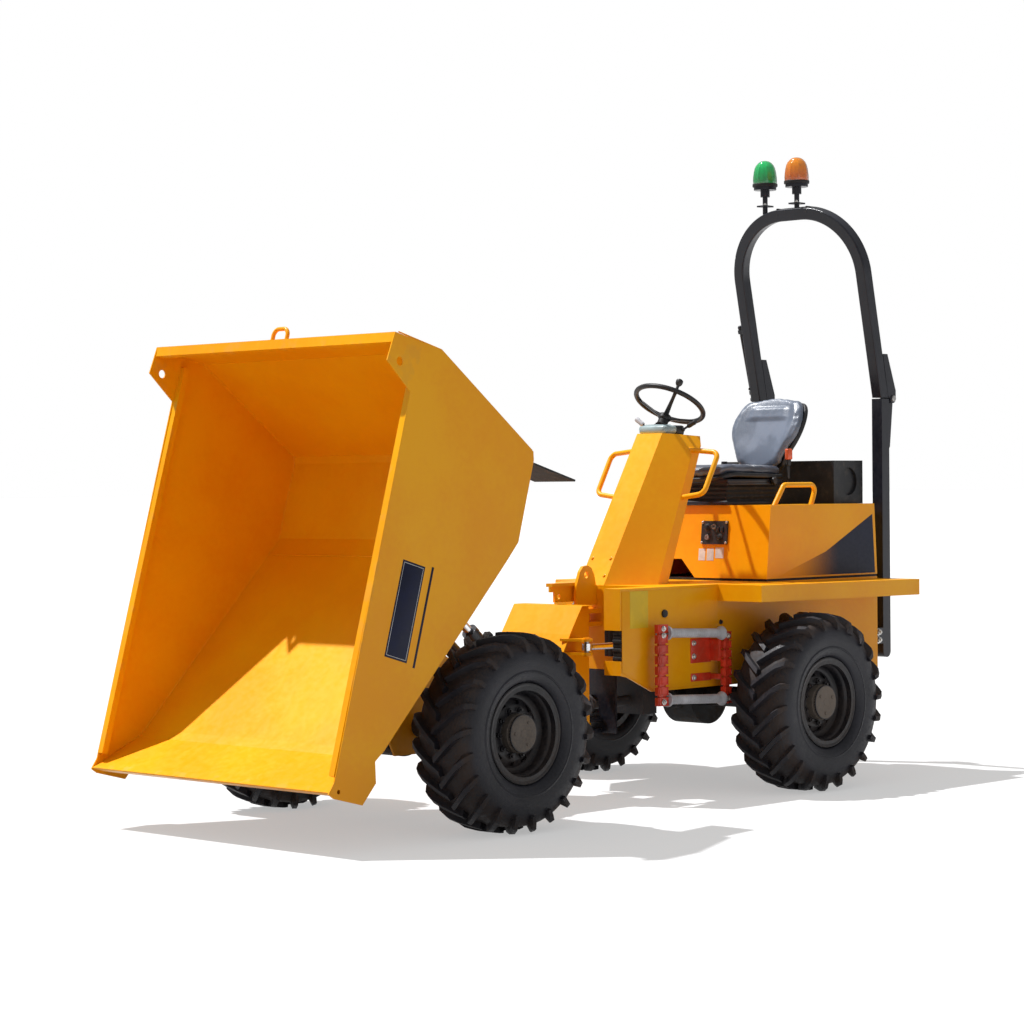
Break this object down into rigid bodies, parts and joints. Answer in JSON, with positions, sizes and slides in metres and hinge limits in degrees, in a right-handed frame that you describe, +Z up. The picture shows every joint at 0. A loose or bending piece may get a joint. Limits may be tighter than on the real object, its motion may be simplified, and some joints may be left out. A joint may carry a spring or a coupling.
{
  "type": "site dumper",
  "caption": "Articulated site dumper with a forward tipping skip shown tipped, equal lugged wheels, centre pivot steering, a rear seat over the engine and a folding roll-over hoop with beacons.",
  "frame": {"origin": "on the ground, at the middle of the whole length and width as it stands with the skip tipped", "axes": "+X to the front (skip end), +Y to the driver's left, +Z up"},
  "size_m": [4.2221, 1.707, 3.1279],
  "materials": {
    "body_paint": "gloss",
    "black_paint": "satin",
    "tyre_rubber": "matt",
    "black_rubber": "matt",
    "machinery": "matt",
    "chrome_rod": "polished",
    "pin_steel": "machined",
    "black_plastic": "matt",
    "dash_silver": "satin",
    "seat_vinyl": "satin",
    "red_strap": "satin",
    "rung_grey": "galvanised",
    "green_lens": "gloss",
    "amber_lens": "gloss"
  },
  "bodies": {
    "rear_chassis": {"rear_chassis": "body_paint", "pivot_hanger": "black_paint", "articulation_lock": "body_paint", "pivot_pins": "pin_steel", "rear_grille": "body_paint", "fenders": "body_paint", "rear_axle": "black_paint", "rear_drive_shaft": "machinery", "engine_block": "machinery", "transmission": "machinery", "seat_box": "body_paint", "seat_box_seal": "black_rubber", "switch_panel": "black_plastic", "intake_box": "black_plastic", "seat_suspension": "black_plastic", "seat_cushion": "seat_vinyl", "seat_backrest": "seat_vinyl", "belt_buckle": "red_strap", "steering_cowl": "body_paint", "dash_panel": "dash_silver", "control_levers": "black_plastic", "grab_rails": "body_paint", "step_rungs": "rung_grey", "step_straps": "red_strap", "rops_posts": "black_paint"},
    "rops_hoop": {"rops_hoop": "black_paint", "beacon_mounts": "black_paint", "beacon_green": "green_lens", "beacon_amber": "amber_lens"},
    "steering_wheel": {"steering_wheel": "black_plastic"},
    "front_chassis": {"front_chassis": "body_paint", "front_axle": "black_paint", "front_drive_shaft": "machinery", "tip_pin": "pin_steel"},
    "skip": {"skip_side_left": "body_paint", "skip_side_right": "body_paint", "skip_rear_wall": "body_paint", "skip_floor": "body_paint", "skip_front_slope": "body_paint", "skip_rim_rails": "body_paint", "skip_pivot_brackets": "body_paint", "lifting_loop": "body_paint", "mudflaps": "black_rubber"},
    "tip_ram_barrels": {"tip_ram_barrels": "black_paint"},
    "tip_ram_rods": {"tip_ram_rods": "chrome_rod"},
    "steer_ram_barrel": {"steer_ram_barrel": "black_paint"},
    "steer_ram_rod": {"steer_ram_rod": "chrome_rod"},
    "wheel_front_left": {"tyre_front_left": "tyre_rubber", "rim_front_left": "black_paint"},
    "wheel_front_right": {"tyre_front_right": "tyre_rubber", "rim_front_right": "black_paint"},
    "wheel_rear_left": {"tyre_rear_left": "tyre_rubber", "rim_rear_left": "black_paint"},
    "wheel_rear_right": {"tyre_rear_right": "tyre_rubber", "rim_rear_right": "black_paint"}
  },
  "joints": [
    {"name": "steer", "type": "hinge", "parent": "rear_chassis", "child": "front_chassis", "pos_m": [-0.155, 0, 0.6], "axis": [0, 0, 1], "range_deg": [-32, 32]},
    {"name": "skip_tip", "type": "hinge", "parent": "front_chassis", "child": "skip", "pos_m": [1.194, 0, 0.838], "axis": [0, 1, 0], "range_deg": [-74.05, 0]},
    {"name": "tip_ram_tilt", "type": "hinge", "parent": "front_chassis", "child": "tip_ram_barrels", "pos_m": [0.185, 0, 0.405], "axis": [0, 1, 0], "range_deg": [0, 13.68]},
    {"name": "tip_ram_stroke", "type": "slide", "parent": "tip_ram_barrels", "child": "tip_ram_rods", "axis": [0.7711, 0, 0.6368], "range_m": [-0.287, 0]},
    {"name": "steer_ram_swing", "type": "hinge", "parent": "rear_chassis", "child": "steer_ram_barrel", "pos_m": [-0.655, 0.385, 0.72], "axis": [0, 0, 1], "range_deg": [-8.16, 8.16]},
    {"name": "steer_ram_stroke", "type": "slide", "parent": "steer_ram_barrel", "child": "steer_ram_rod", "axis": [0.9938, -0.1111, 0], "range_m": [-0.165, 0.165]},
    {"name": "steering_wheel_turn", "type": "hinge", "parent": "rear_chassis", "child": "steering_wheel", "pos_m": [-0.835, 0, 1.85], "axis": [-0.5, 0, 0.866], "continuous": true},
    {"name": "rops_fold", "type": "hinge", "parent": "rear_chassis", "child": "rops_hoop", "pos_m": [-2.087, 0, 1.886], "axis": [0, 1, 0], "range_deg": [-140, 0]},
    {"name": "spin_front_left", "type": "hinge", "parent": "front_chassis", "child": "wheel_front_left", "pos_m": [1.057, 0.6985, 0.4225], "axis": [0, 1, 0], "continuous": true},
    {"name": "spin_front_right", "type": "hinge", "parent": "front_chassis", "child": "wheel_front_right", "pos_m": [1.057, -0.6985, 0.4225], "axis": [0, 1, 0], "continuous": true},
    {"name": "spin_rear_left", "type": "hinge", "parent": "rear_chassis", "child": "wheel_rear_left", "pos_m": [-1.005, 0.6985, 0.4225], "axis": [0, 1, 0], "continuous": true},
    {"name": "spin_rear_right", "type": "hinge", "parent": "rear_chassis", "child": "wheel_rear_right", "pos_m": [-1.005, -0.6985, 0.4225], "axis": [0, 1, 0], "continuous": true}
  ],
  "couplings": [
    {"joint": "tip_ram_tilt", "follows": "skip_tip", "ratio": -0.184},
    {"joint": "tip_ram_stroke", "follows": "skip_tip", "m_per_rad": 0.222},
    {"joint": "steer_ram_swing", "follows": "steer", "ratio": 0.255},
    {"joint": "steer_ram_stroke", "follows": "steer", "m_per_rad": -0.294}
  ]
}
